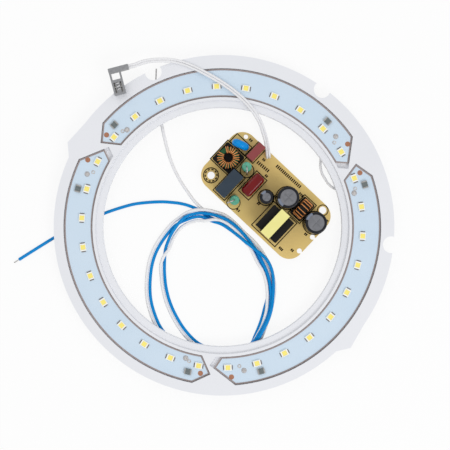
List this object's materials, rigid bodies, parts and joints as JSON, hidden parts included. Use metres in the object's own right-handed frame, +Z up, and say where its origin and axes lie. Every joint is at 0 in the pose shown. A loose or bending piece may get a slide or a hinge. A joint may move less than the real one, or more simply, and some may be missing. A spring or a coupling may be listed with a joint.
{
  "type": "led ring light module with driver board",
  "caption": "Round moulded carrier ring with arc LED boards, a loose driver board with its parts, a twin lead with a small plug, and a coil of blue and white supply leads.",
  "frame": {"origin": "centre of the carrier ring, on the surface that it rests on", "axes": "+Z up out of the LED side, +X to the right and +Y to the top of the view from above"},
  "size_m": [0.1779, 0.1584, 0.0168],
  "materials": {
    "carrier_plastic": "satin white moulding",
    "led_board_mask": "pale white solder mask",
    "led_housing": "white moulded housing",
    "led_phosphor": "yellow silicone fill",
    "solder": "tin solder",
    "bare_copper": "dull bare copper",
    "chip_body": "dark chip",
    "wire_blue": "blue wire insulation",
    "wire_white": "white wire insulation",
    "driver_laminate": "tan laminate",
    "black_plastic": "black moulding",
    "ferrite": "dark ferrite",
    "coated_core": "green coated core",
    "magnet_wire": "enamelled copper wire",
    "disc_blue": "blue lacquer",
    "film_red": "dull red box",
    "dipped_red": "dark red epoxy dip",
    "box_slate": "slate box",
    "green_lacquer": "green lacquer",
    "can_sleeve": "black shrink sleeve",
    "can_metal": "bare can top",
    "core_tape": "pale yellow tape",
    "winding_tape": "yellow winding tape",
    "plug_plastic": "milky plastic",
    "tinned_metal": "tinned contact"
  },
  "bodies": {
    "root": {"axial_inductor_leads": "solder", "axial_inductors": "green_lacquer", "board_chip_terminals": "solder", "board_chips": "chip_body", "board_copper_pads": "bare_copper", "board_pad_rings": "solder", "board_solder_joints": "solder", "box_capacitor": "box_slate", "carrier_ring": "carrier_plastic", "choke_base": "black_plastic", "choke_core": "ferrite", "choke_winding": "magnet_wire", "disc_capacitor": "disc_blue", "driver_board": "driver_laminate", "driver_lead_a": "wire_white", "driver_lead_b": "wire_white", "driver_solder_joints": "solder", "electrolytic_end_can": "can_metal", "electrolytic_end_sleeve": "can_sleeve", "electrolytic_mid_can": "can_metal", "electrolytic_mid_sleeve": "can_sleeve", "electrolytic_small_can": "can_metal", "electrolytic_small_sleeve": "can_sleeve", "film_capacitor_large": "dipped_red", "film_capacitor_small": "film_red", "lead_blue": "wire_blue", "lead_blue_strands": "solder", "lead_white": "wire_white", "lead_white_strands": "solder", "led_board_left": "led_board_mask", "led_board_right": "led_board_mask", "led_board_top": "led_board_mask", "led_frames_left": "led_housing", "led_frames_right": "led_housing", "led_frames_top": "led_housing", "led_phosphor_left": "led_phosphor", "led_phosphor_right": "led_phosphor", "led_phosphor_top": "led_phosphor", "led_terminals_left": "solder", "led_terminals_right": "solder", "led_terminals_top": "solder", "link_wire_left": "wire_white", "link_wire_right": "wire_white", "plug_contacts": "tinned_metal", "plug_housing": "plug_plastic", "toroid_base": "black_plastic", "toroid_core": "coated_core", "toroid_winding": "magnet_wire", "transformer_bobbin": "black_plastic", "transformer_core_lower": "ferrite", "transformer_core_upper": "ferrite", "transformer_tape": "core_tape", "transformer_winding": "winding_tape"}
  },
  "joints": []
}
